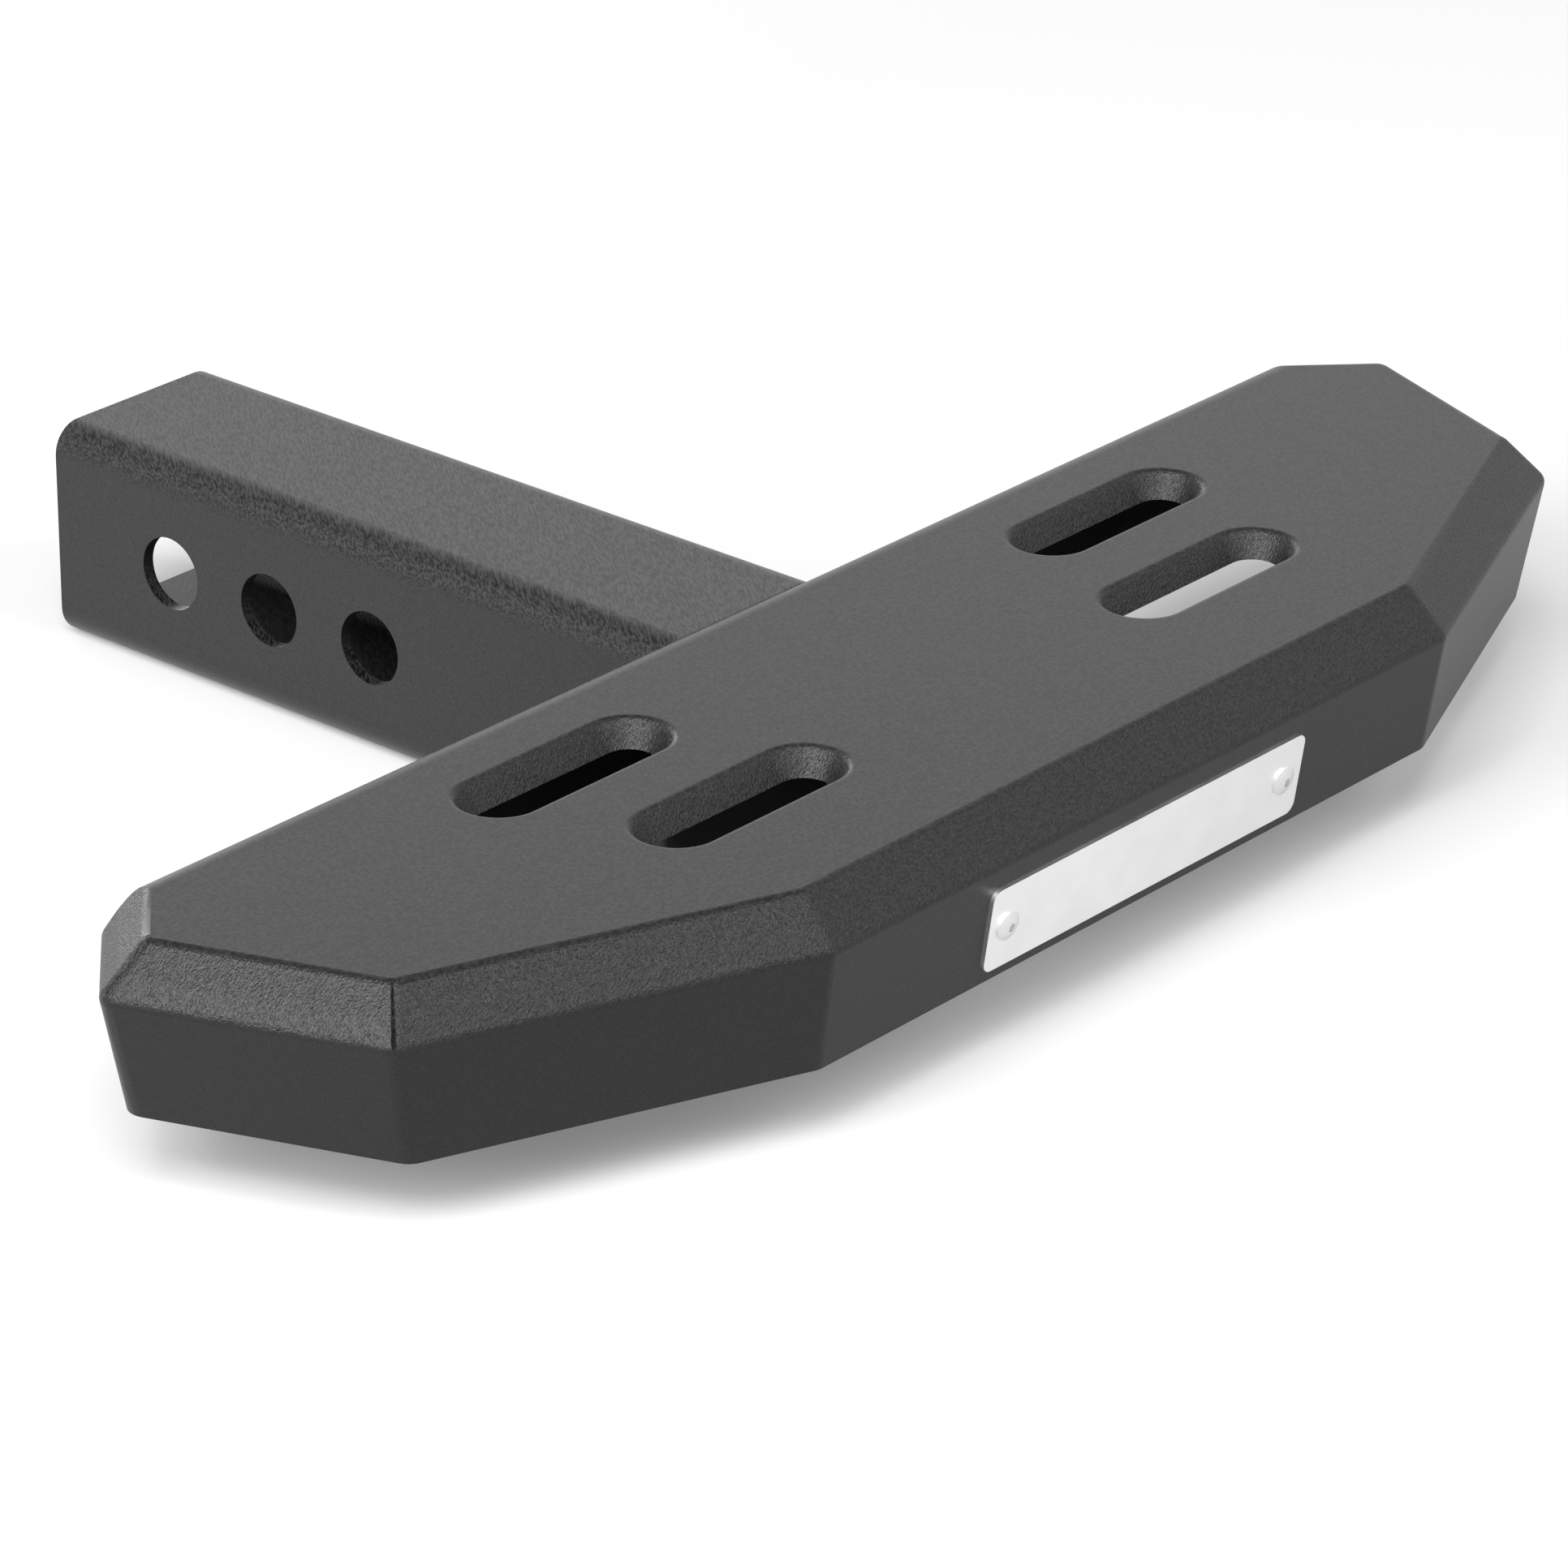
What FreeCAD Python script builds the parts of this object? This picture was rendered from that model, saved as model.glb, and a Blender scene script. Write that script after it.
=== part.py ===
"""Hitch receiver step: a folded sheet tread with flanged slots on a square receiver tube.

Millimetres, +Z up. The origin is the middle of the middle pin hole, on the tube's centre line.
+Y points along the tube to the vehicle, and -Y is the side that a person steps up from.
"""
import FreeCAD, Part
import math
import os
import Sketcher

DOC = FreeCAD.newDocument("HitchReceiverStep")
VECTOR = FreeCAD.Vector

# Driving dimensions: alias, size, what it is
SIZES = [
    ("tube_side", 50.8, "outside width and height of the receiver tube"),
    ("tube_wall", 3.0, "wall of the receiver tube"),
    ("tube_corner_radius", 7.0, "outside corner of the receiver tube"),
    ("tube_inner_corner", 4.0, "inside corner of the receiver tube"),
    ("open_end_reach", 66.0, "middle pin hole to the tube's open end"),
    ("pin_hole_diameter", 17.0, "clearance hole for a 15.9 mm hitch pin"),
    ("pin_hole_spacing", 30.5, "one pin hole to the next"),
    ("pin_hole_count", 3, "pin holes through the tube"),
    ("sheet_thickness", 3.2, "sheet of the tread"),
    ("rear_wall_reach", 114.7, "middle pin hole to the outside of the tread's rear wall"),
    ("flat_depth", 101.5, "rear wall to the front edge of the flat top"),
    ("tube_front_gap", 28.2, "front edge of the flat top back to the tube's inner end"),
    ("front_half_width", 97.8, "half of the flat top's straight front edge"),
    ("widest_half_width", 196.4, "middle to the flat top's widest corner"),
    ("widest_setback", 79.5, "front edge back to the widest corner"),
    ("shoulder_inset", 18.2, "widest corner in to the shoulder corner"),
    ("shoulder_setback", 32.3, "front edge back to the shoulder corner"),
    ("rear_corner_inset", 14.1, "widest corner in to the end of the rear bend"),
    ("bevel_run", 9.0, "how far the bevel goes out"),
    ("bevel_drop", 9.8, "how far the bevel goes down"),
    ("front_draft", 4.1, "how far the front skirt leans back in"),
    ("end_draft", 6.2, "how far the skirt leans back in at the tread's two ends"),
    ("corner_draft", 4.4, "how far the skirt leans back in between an end and the rear wall"),
    ("skirt_height", 27.0, "height of the skirt under the bevel"),
    ("top_corner_radius", 3.0, "plan corners of the flat top"),
    ("fold_corner_radius", 4.0, "plan corners of the fold under the bevel"),
    ("skirt_corner_radius", 5.0, "plan corners of the skirt's lower edge"),
    ("inside_top_corner", 1.5, "plan corners of the hollow, under the flat top"),
    ("inside_fold_corner", 2.0, "plan corners of the hollow, at the fold under the bevel"),
    ("inside_skirt_corner", 2.5, "plan corners of the hollow, at the skirt's lower edge"),
    ("fold_radius", 2.5, "outside radius of the folds above and under the bevel"),
    ("widest_seam_depth", 1.6, "groove in the bevel's joint at the widest corner"),
    ("widest_seam_width", 2.0, "that groove, across the sharp corner"),
    ("shoulder_seam_depth", 1.2, "groove in the bevel's joint at the shoulder corner"),
    ("shoulder_seam_width", 1.7, "that groove, across the sharp corner"),
    ("seam_top_share", 0.5, "depth of those grooves at the flat top, as a share of that at the fold"),
    ("seam_overrun", 1.5, "how far those grooves are cut past the bevel's two edges"),
    ("rear_bend_radius", 8.0, "outside radius of the bend into the rear wall"),
    ("rear_overrun", 12.0, "how far the outline runs past the rear wall before it is trimmed"),
    ("notch_clearance", 0.4, "gap round the tube in the rear wall's notch"),
    ("slot_straight", 38.2, "centre to centre of a slot's two round ends"),
    ("slot_rim_radius", 9.3, "half of a slot's width at the top face"),
    ("slot_hole_radius", 5.5, "half of a slot's clear width, at the flange's lower edge"),
    ("slot_lip_radius", 2.0, "rounded edge at the top of a slot"),
    ("slot_flange_wall", 2.8, "wall of the sloping flange round a slot, straight across"),
    ("slot_flange_depth", 5.6, "top face to the flange's lower edge"),
    ("rear_slot_setback", 29.2, "rear wall to the middle of the rear slots"),
    ("slot_row_pitch", 35.2, "rear slots to front slots"),
    ("rear_slot_offset", 86.7, "middle of the tread to the middle of a rear slot"),
    ("front_slot_offset", 73.75, "middle of the tread to the middle of a front slot"),
    ("nameplate_width", 101.6, "nameplate, left to right"),
    ("nameplate_height", 19.0, "nameplate, up the skirt"),
    ("nameplate_thickness", 1.0, "nameplate"),
    ("nameplate_corner_radius", 2.5, "nameplate corners"),
    ("nameplate_drop", 14.8, "fold under the bevel to the nameplate's middle, down the skirt"),
    ("rivet_inset", 5.8, "nameplate's end in to the rivet"),
    ("rivet_diameter", 3.2, "rivet shank"),
    ("rivet_clearance", 0.1, "gap round the rivet shank"),
    ("rivet_head_diameter", 6.4, "rivet head"),
    ("rivet_head_height", 1.2, "rivet head"),
    ("rivet_head_edge", 0.4, "upright edge under the rivet head's dome"),
    ("rivet_core_diameter", 1.8, "hollow that the pulled stem leaves in the head"),
    ("rivet_core_depth", 0.9, "depth of that hollow"),
    ("rivet_tail_diameter", 4.8, "rivet's formed tail"),
    ("rivet_tail_length", 2.6, "rivet's formed tail"),
    ("rivet_tail_bevel", 0.8, "bevel round the end of the tail"),
    ("weld_leg", 6.0, "leg of the fillet welds on the sheet"),
    ("weld_drop", 9.0, "how far the side welds reach down the tube"),
    ("weld_front_leg", 5.0, "legs of the weld across the tube's inner end"),
    ("weld_rear_leg", 6.0, "legs of the upright welds on the rear wall"),
    ("weld_end_gap", 1.5, "skirt's lower edge up to the upright welds"),
    ("weld_bulge", 0.8, "how far a weld's face stands out from straight"),
]

SHEET = DOC.addObject("Spreadsheet::Sheet", "Sizes")
for row, (alias, value, meaning) in enumerate(SIZES, start=1):
    SHEET.set(f"A{row}", alias)
    SHEET.set(f"B{row}", str(value))
    SHEET.set(f"C{row}", meaning)
    SHEET.setAlias(f"B{row}", alias)
DOC.recompute()

SIZE_NAMES = [alias for alias, value, meaning in SIZES]


def bound(text):
    """An expression in which each size is read from the sheet."""
    words = []
    word = ""
    for letter in text + " ":
        if letter.isalnum() or letter == "_":
            word += letter
            continue
        words.append(f"Sizes.{word}" if word in SIZE_NAMES else word)
        words.append(letter)
        word = ""
    return "".join(words).strip()


def amount(text):
    """The value that such an expression has now."""
    value = SHEET.evalExpression(bound(text))
    return float(getattr(value, "Value", value))


# Heights and places that follow from the driving dimensions
TUBE_HALF = "(tube_side / 2)"
OPEN_END = "open_end_reach"
TOP = "(tube_side / 2 + sheet_thickness)"
UNDERSIDE = "(tube_side / 2)"
FOLD = f"({TOP} - bevel_drop)"
SKIRT_BOTTOM = f"({TOP} - bevel_drop - skirt_height)"
REAR_WALL = "(0 - rear_wall_reach)"
REAR_WALL_INSIDE = "(0 - rear_wall_reach - sheet_thickness)"
FLAT_FRONT = "(0 - rear_wall_reach - flat_depth)"
INNER_END = f"({FLAT_FRONT} + tube_front_gap)"

REAR_BEND = f"({REAR_WALL} - rear_bend_radius)"

# The inside of the sheet lies one thickness in from the bevel and from the skirt
BEVEL_LENGTH = "hypot(bevel_run; bevel_drop)"
SKIRT_LENGTH = "hypot(front_draft; skirt_height)"
INSIDE_TOP_SHIFT = f"(0 - sheet_thickness * ({BEVEL_LENGTH} - bevel_run) / bevel_drop)"
INSIDE_FOLD_DROP = (
    f"(sheet_thickness * ({BEVEL_LENGTH} / bevel_drop - {SKIRT_LENGTH} / skirt_height)"
    " / (bevel_run / bevel_drop + front_draft / skirt_height))"
)
INSIDE_FOLD = f"({FOLD} - {INSIDE_FOLD_DROP})"

# The skirt leans back by these, next to the rear wall, at an end and along the front
DRAFTS = ("corner_draft", "end_draft", "front_draft")

# The front skirt leans back by this angle, and what is fixed to it leans with it
SKIRT_ANGLE = "atan(front_draft / skirt_height)"

PARTS = []


def inside_shift(draft, drop):
    """How far the sheet's inside lies out from the flat top's edge, this far under the fold."""
    through = f"sheet_thickness * hypot({draft}; skirt_height) / skirt_height"
    return f"(bevel_run - {drop} * {draft} / skirt_height - {through})"


def new_body(name):
    """A body for one sub-part, whose label names its file."""
    body = DOC.addObject("PartDesign::Body", name)
    body.Label = name
    PARTS.append(body)
    return body


def origin_plane(body, role):
    """One of the body's own origin planes."""
    for feature in body.Origin.OriginFeatures:
        if feature.Role == role:
            return feature
    raise ValueError(role)


def new_sketch(body, name, role, height):
    """A sketch on one of the body's origin planes, moved along its normal by a bound height."""
    sketch = body.newObject("Sketcher::SketchObject", name)
    sketch.AttachmentSupport = [(origin_plane(body, role), "")]
    sketch.MapMode = "FlatFace"
    sketch.setExpression("AttachmentOffset.Base.z", bound(height))
    DOC.recompute()
    return sketch


def add_constraint(sketch, kind, places, text=None):
    """A constraint, with its value bound to the sizes where it has one."""
    if text is None:
        return sketch.addConstraint(Sketcher.Constraint(kind, *places))
    value = amount(text)
    if kind in ("Radius", "Distance", "Diameter"):
        value = abs(value)
    index = sketch.addConstraint(Sketcher.Constraint(kind, *places, value))
    sketch.setExpression(f"Constraints[{index}]", bound(text))
    return index


def place_point(sketch, geometry, position, across, up):
    """Fix a point by its two distances from the sketch's origin."""
    add_constraint(sketch, "DistanceX", (-1, 1, geometry, position), across)
    add_constraint(sketch, "DistanceY", (-1, 1, geometry, position), up)


def check_sketch(sketch):
    """A sketch has to solve, with nothing left free."""
    DOC.recompute()
    if sketch.solve() != 0:
        raise RuntimeError(f"{sketch.Name} does not solve")
    if not sketch.FullyConstrained:
        raise RuntimeError(f"{sketch.Name} is not fully constrained")


def dome_centre(start, end):
    """The point on the vertical axis that is equally far from two points."""
    rise = end.y - start.y
    return VECTOR(0, (end.Length ** 2 - start.Length ** 2) / (2 * rise), 0)


def polygon_sketch(sketch, corners, domed_side):
    """A closed polygon, each corner given by two expressions.

    The domed side is an arc that runs anticlockwise about a point on the vertical axis.
    """
    points = [VECTOR(amount(across), amount(up), 0) for across, up in corners]
    count = len(points)
    sides = []
    for index, start in enumerate(points):
        end = points[(index + 1) % count]
        if index == domed_side:
            side = arc_between(dome_centre(start, end), start, end)
        else:
            side = Part.LineSegment(start, end)
        sides.append(sketch.addGeometry(side, False))
    for index, side in enumerate(sides):
        add_constraint(sketch, "Coincident", (side, 2, sides[(index + 1) % count], 1))
        place_point(sketch, side, 1, *corners[index])
    add_constraint(sketch, "PointOnObject", (sides[domed_side], 3, -2))
    check_sketch(sketch)


def circle_sketch(sketch, across, up, diameter):
    """A circle at a bound place."""
    centre = VECTOR(amount(across), amount(up), 0)
    axis = VECTOR(0, 0, 1)
    circle = sketch.addGeometry(Part.Circle(centre, axis, amount(diameter) / 2), False)
    add_constraint(sketch, "Diameter", (circle,), diameter)
    place_point(sketch, circle, 3, across, up)
    check_sketch(sketch)


def arc_between(centre, start, end):
    """A sketch arc that runs anticlockwise from start to end."""
    first = math.atan2(start.y - centre.y, start.x - centre.x)
    last = math.atan2(end.y - centre.y, end.x - centre.x)
    if last < first:
        last += 2 * math.pi
    circle = Part.Circle(centre, VECTOR(0, 0, 1), (start - centre).Length)
    return Part.ArcOfCircle(circle, first, last)


def rounded_rectangle_sketch(sketch, half_width, low, high, radius):
    """A rectangle with four equal round corners, symmetrical about the vertical axis."""
    right = amount(half_width)
    bottom = amount(low)
    top = amount(high)
    corner = amount(radius)
    centres = [
        VECTOR(right - corner, bottom + corner, 0),
        VECTOR(right - corner, top - corner, 0),
        VECTOR(corner - right, top - corner, 0),
        VECTOR(corner - right, bottom + corner, 0),
    ]
    down = VECTOR(0, -corner, 0)
    across = VECTOR(corner, 0, 0)
    starts = [down, across, down * -1, across * -1]
    ends = [across, down * -1, across * -1, down]
    arcs = []
    lines = []
    for index, centre in enumerate(centres):
        following = (index + 1) % 4
        start = centre + starts[index]
        end = centre + ends[index]
        arcs.append(sketch.addGeometry(arc_between(centre, start, end), False))
        side = Part.LineSegment(end, centres[following] + starts[following])
        lines.append(sketch.addGeometry(side, False))
    for index in range(4):
        following = (index + 1) % 4
        add_constraint(sketch, "Tangent", (arcs[index], 2, lines[index], 1))
        add_constraint(sketch, "Tangent", (lines[index], 2, arcs[following], 1))
    for index, kind in enumerate(("Vertical", "Horizontal", "Vertical", "Horizontal")):
        add_constraint(sketch, kind, (lines[index],))
    for index in range(1, 4):
        add_constraint(sketch, "Equal", (arcs[0], arcs[index]))
    add_constraint(sketch, "Radius", (arcs[0],), radius)
    place_point(sketch, arcs[0], 3, f"{half_width} - {radius}", f"{low} + {radius}")
    place_point(sketch, arcs[2], 3, f"{radius} - {half_width}", f"{high} - {radius}")
    check_sketch(sketch)


def pad(body, name, sketch, length, midplane=False, reverse=False):
    """A straight extrusion of a sketch."""
    feature = body.newObject("PartDesign::Pad", name)
    feature.Profile = sketch
    feature.setExpression("Length", bound(length))
    if midplane:
        feature.SideType = "Symmetric"
    feature.Reversed = reverse
    body.Tip = feature
    DOC.recompute()
    return feature


def pocket(body, name, sketch, length, midplane=False, reverse=False):
    """A straight cut with a sketch, which has to take material away."""
    before = body.Shape.Volume
    feature = body.newObject("PartDesign::Pocket", name)
    feature.Profile = sketch
    feature.setExpression("Length", bound(length))
    if midplane:
        feature.SideType = "Symmetric"
    feature.Reversed = reverse
    body.Tip = feature
    DOC.recompute()
    if not feature.Shape.Volume < before:
        raise RuntimeError(f"{name} cuts nothing")
    return feature


def fillet(body, name, base, edges, radius):
    """Round the named edges of a feature."""
    feature = body.newObject("PartDesign::Fillet", name)
    feature.Base = (base, edges)
    feature.setExpression("Radius", bound(radius))
    body.Tip = feature
    DOC.recompute()
    return feature


def edges_where(shape, test):
    """Names of the edges whose middle and ends all pass a test."""
    names = []
    for index, edge in enumerate(shape.Edges, start=1):
        middle = edge.valueAt((edge.FirstParameter + edge.LastParameter) / 2)
        points = [vertex.Point for vertex in edge.Vertexes] + [middle]
        if all(test(point) for point in points):
            names.append(f"Edge{index}")
    return names


def at_height(text):
    """A test for points at one height."""
    height = amount(text)
    return lambda point: abs(point.z - height) < 0.001


def half_outline():
    """The flat top's corners on the +X side, from the rear edge to the front."""
    return [
        ("(widest_half_width - rear_corner_inset)", REAR_BEND),
        ("widest_half_width", f"({FLAT_FRONT} + widest_setback)"),
        ("(widest_half_width - shoulder_inset)", f"({FLAT_FRONT} + shoulder_setback)"),
        ("front_half_width", FLAT_FRONT),
    ]


def offset_line(first, second, distance):
    """A line moved sideways to the right of its direction, as a point and a unit vector."""
    along = (second - first).normalize()
    side = VECTOR(along.y, -along.x, 0)
    return first + side * distance, along


def crossing(first, second):
    """Where two such lines meet."""
    (start, along), (other, direction) = first, second
    gap = other - start
    turn = along.x * direction.y - along.y * direction.x
    reach = (gap.x * direction.y - gap.y * direction.x) / turn
    return start + along * reach


def tread_outline_sketch(body, name, height, side_shifts, rear, corner):
    """The tread's outline at one height: the flat top's corners, with its sides moved out.

    The flat top's own outline is drawn as construction lines. Each real line lies parallel to one
    of them, and round corners join them. The shifts are those of the side next to the rear wall,
    of the end, and of the front. The rear line stays straight across, at its own place.
    """
    sketch = new_sketch(body, name, "XY_Plane", height)
    right = half_outline()
    left = [(f"(0 - {across})", up) for across, up in reversed(right)]
    outline = right + left
    points = [VECTOR(amount(across), amount(up), 0) for across, up in outline]
    count = len(points)

    # The construction lines run clockwise seen from above, from the +X rear corner round the front
    guides = []
    for index in range(count - 1):
        segment = Part.LineSegment(points[index], points[index + 1])
        guides.append(sketch.addGeometry(segment, True))
    for index, guide in enumerate(guides):
        place_point(sketch, guide, 1, *outline[index])
    add_constraint(sketch, "Coincident", (guides[0], 2, guides[1], 1))
    for index in range(1, count - 2):
        add_constraint(sketch, "Coincident", (guides[index], 2, guides[index + 1], 1))
    place_point(sketch, guides[-1], 2, *outline[-1])

    # First places of the real lines, worked out with the same sizes
    corner_shift, end_shift, front_shift = side_shifts
    shifts = [corner_shift, end_shift] + [front_shift] * 3 + [end_shift, corner_shift]
    distances = [-amount(shift) for shift in shifts]
    moved = []
    for index, distance in enumerate(distances):
        moved.append(offset_line(points[index], points[index + 1], distance))
    rear_line = (VECTOR(0, amount(rear), 0), VECTOR(1, 0, 0))
    corners = [crossing(rear_line, moved[0])]
    for index in range(count - 2):
        corners.append(crossing(moved[index], moved[index + 1]))
    corners.append(crossing(moved[-1], rear_line))
    radius = amount(corner)
    starts = [corners[0]]
    ends = []
    centres = []
    for index in range(1, len(corners) - 1):
        before = moved[index - 1][1]
        after = moved[index][1]
        turn = before.getAngle(after)
        reach = radius * math.tan(turn / 2)
        ends.append(corners[index] - before * reach)
        starts.append(corners[index] + after * reach)
        inward = VECTOR(before.y, -before.x, 0)
        centres.append(ends[-1] + inward * radius)
    ends.append(corners[-1])

    lines = []
    arcs = []
    for index, start in enumerate(starts):
        lines.append(sketch.addGeometry(Part.LineSegment(start, ends[index]), False))
        if index < len(centres):
            bend = arc_between(centres[index], starts[index + 1], ends[index])
            arcs.append(sketch.addGeometry(bend, False))
    back = sketch.addGeometry(Part.LineSegment(corners[-1], corners[0]), False)

    for index, arc in enumerate(arcs):
        add_constraint(sketch, "Tangent", (lines[index], 2, arc, 2))
        add_constraint(sketch, "Tangent", (arc, 1, lines[index + 1], 1))
        add_constraint(sketch, "Radius", (arc,), corner)
    for index, line in enumerate(lines):
        add_constraint(sketch, "Parallel", (line, guides[index]))
        if distances[index] == 0:
            add_constraint(sketch, "PointOnObject", (line, 1, guides[index]))
        else:
            side = shifts[index] if distances[index] < 0 else f"(0 - {shifts[index]})"
            add_constraint(sketch, "Distance", (line, 1, guides[index]), side)
    add_constraint(sketch, "Coincident", (lines[-1], 2, back, 1))
    add_constraint(sketch, "Coincident", (back, 2, lines[0], 1))
    add_constraint(sketch, "Horizontal", (back,))
    add_constraint(sketch, "DistanceY", (-1, 1, back, 1), rear)
    check_sketch(sketch)
    return sketch


def loft(body, name, kind, sections):
    """Straight walls from one outline to the next."""
    feature = body.newObject(kind, name)
    feature.Profile = sections[0]
    feature.Sections = sections[1:]
    feature.Ruled = True
    body.Tip = feature
    DOC.recompute()
    return feature


# A groove's section is this many times as deep and as wide as the groove, to reach past the sheet
SEAM_REACH = 3


def seam_sketch(body, name, height, out, corners, depth, width):
    """A three-sided groove section at one height, where two sides of the bevel join.

    The three corners are the flat top's, and the joint starts at the middle one. Here the joint's
    sharp corner lies this far out from both of the flat top's edges. The section's point lies
    inside the sheet, and its base well outside.
    """
    sketch = new_sketch(body, name, "XY_Plane", height)
    before, joint, after = [VECTOR(amount(across), amount(up), 0) for across, up in corners]
    first = sketch.addGeometry(Part.LineSegment(before, joint), True)
    second = sketch.addGeometry(Part.LineSegment(joint, after), True)
    place_point(sketch, first, 1, *corners[0])
    place_point(sketch, first, 2, *corners[1])
    place_point(sketch, second, 2, *corners[2])
    add_constraint(sketch, "Coincident", (first, 2, second, 1))

    # The line that halves the joint, as far as the fold's corner
    side = 1 if (joint - before).cross(after - joint).z > 0 else -1
    run = side * amount("bevel_run")
    fold_corner = crossing(offset_line(before, joint, run), offset_line(joint, after, run))
    halving = sketch.addGeometry(Part.LineSegment(joint, fold_corner), True)
    add_constraint(sketch, "Coincident", (halving, 1, first, 2))
    add_constraint(sketch, "Distance", (halving, 2, first), "bevel_run")
    add_constraint(sketch, "Distance", (halving, 2, second), "bevel_run")

    # The joint's sharp corner at this height
    outward = (fold_corner - joint) * (1 / amount("bevel_run"))
    sharp = joint + outward * amount(out)
    corner = sketch.addGeometry(Part.Point(sharp), True)
    add_constraint(sketch, "PointOnObject", (corner, 1, halving))
    away = out if amount(out) > 0 else f"(0 - {out})"
    add_constraint(sketch, "Distance", (corner, 1, first), away)

    outward.normalize()
    across = VECTOR(-outward.y, outward.x, 0) * (SEAM_REACH * amount(width) / 2)
    point = sharp - outward * amount(depth)
    base = point + outward * (SEAM_REACH * amount(depth))
    leg = sketch.addGeometry(Part.LineSegment(point, base + across), False)
    rim = sketch.addGeometry(Part.LineSegment(base + across, base - across), False)
    return_leg = sketch.addGeometry(Part.LineSegment(base - across, point), False)
    add_constraint(sketch, "Coincident", (leg, 2, rim, 1))
    add_constraint(sketch, "Coincident", (rim, 2, return_leg, 1))
    add_constraint(sketch, "Coincident", (return_leg, 2, leg, 1))
    add_constraint(sketch, "PointOnObject", (leg, 1, halving))
    add_constraint(sketch, "Distance", (leg, 1, corner, 1), depth)
    add_constraint(sketch, "Symmetric", (rim, 1, rim, 2, halving))
    add_constraint(sketch, "Distance", (rim, 1, rim, 2), f"{SEAM_REACH} * {width}")
    leg_length = f"{SEAM_REACH} * hypot({depth}; {width} / 2)"
    add_constraint(sketch, "Distance", (leg, 1, leg, 2), leg_length)
    check_sketch(sketch)
    return sketch


def add_seams(body):
    """The grooves down the bevel's joints at the widest and the shoulder corners of both ends."""
    right = half_outline()
    left = [(f"(0 - {across})", up) for across, up in right]
    over = "(seam_overrun * bevel_run / bevel_drop)"
    levels = [
        (f"({TOP} + seam_overrun)", f"(0 - {over})", "seam_top_share"),
        (f"({FOLD} - seam_overrun)", f"(bevel_run + {over})", "1"),
    ]
    for end, outline in (("Right", right), ("Left", left)):
        for index, corner in ((1, "widest"), (2, "shoulder")):
            name = f"{corner.title()}Seam{end}"
            sections = []
            for height, out, share in levels:
                depth = f"({share} * {corner}_seam_depth)"
                width = f"({share} * {corner}_seam_width)"
                corners = outline[index - 1:index + 2]
                section_name = f"{name}{len(sections)}"
                sections.append(seam_sketch(body, section_name, height, out, corners, depth, width))
            before = body.Shape.Volume
            loft(body, name, "PartDesign::SubtractiveLoft", sections)
            if not body.Shape.Volume < before:
                raise RuntimeError(f"{name} cuts nothing")


def stadium_sketch(sketch, middle, up, radius):
    """A slot outline: two round ends and two straight sides along the tread."""
    reach = "(slot_straight / 2)"
    left = VECTOR(amount(f"{middle} - {reach}"), amount(up), 0)
    right = VECTOR(amount(f"{middle} + {reach}"), amount(up), 0)
    rise = VECTOR(0, amount(radius), 0)
    round_left = sketch.addGeometry(arc_between(left, left + rise, left - rise), False)
    round_right = sketch.addGeometry(arc_between(right, right - rise, right + rise), False)
    lower = sketch.addGeometry(Part.LineSegment(left - rise, right - rise), False)
    upper = sketch.addGeometry(Part.LineSegment(right + rise, left + rise), False)
    add_constraint(sketch, "Tangent", (round_left, 2, lower, 1))
    add_constraint(sketch, "Tangent", (lower, 2, round_right, 1))
    add_constraint(sketch, "Tangent", (round_right, 2, upper, 1))
    add_constraint(sketch, "Tangent", (upper, 2, round_left, 1))
    add_constraint(sketch, "Horizontal", (lower,))
    add_constraint(sketch, "Radius", (round_left,), radius)
    place_point(sketch, round_left, 3, f"{middle} - {reach}", up)
    place_point(sketch, round_right, 3, f"{middle} + {reach}", up)
    check_sketch(sketch)


SLOT_PLACES = [
    ("RearRight", "rear_slot_offset", f"({REAR_WALL} - rear_slot_setback)"),
    ("RearLeft", "(0 - rear_slot_offset)", f"({REAR_WALL} - rear_slot_setback)"),
    ("FrontRight", "front_slot_offset", f"({REAR_WALL} - rear_slot_setback - slot_row_pitch)"),
    ("FrontLeft", "(0 - front_slot_offset)", f"({REAR_WALL} - rear_slot_setback - slot_row_pitch)"),
]


# A slot's wall slopes in from the rim to the lower edge of its flange
SLOT_SLOPE = "((slot_rim_radius - slot_hole_radius) / slot_flange_depth)"


def slot_radius(drop):
    """Half of a slot's width, this far under the top face."""
    return f"(slot_rim_radius - {SLOT_SLOPE} * {drop})"


def slot_loft(body, name, kind, middle, setback, levels):
    """A sloping slot form between two levels, each a drop under the top face and a radius."""
    sections = []
    for drop, radius in levels:
        section = new_sketch(body, f"{name}{len(sections)}", "XY_Plane", f"({TOP} - {drop})")
        stadium_sketch(section, middle, setback, radius)
        sections.append(section)
    loft(body, name, kind, sections)


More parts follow.
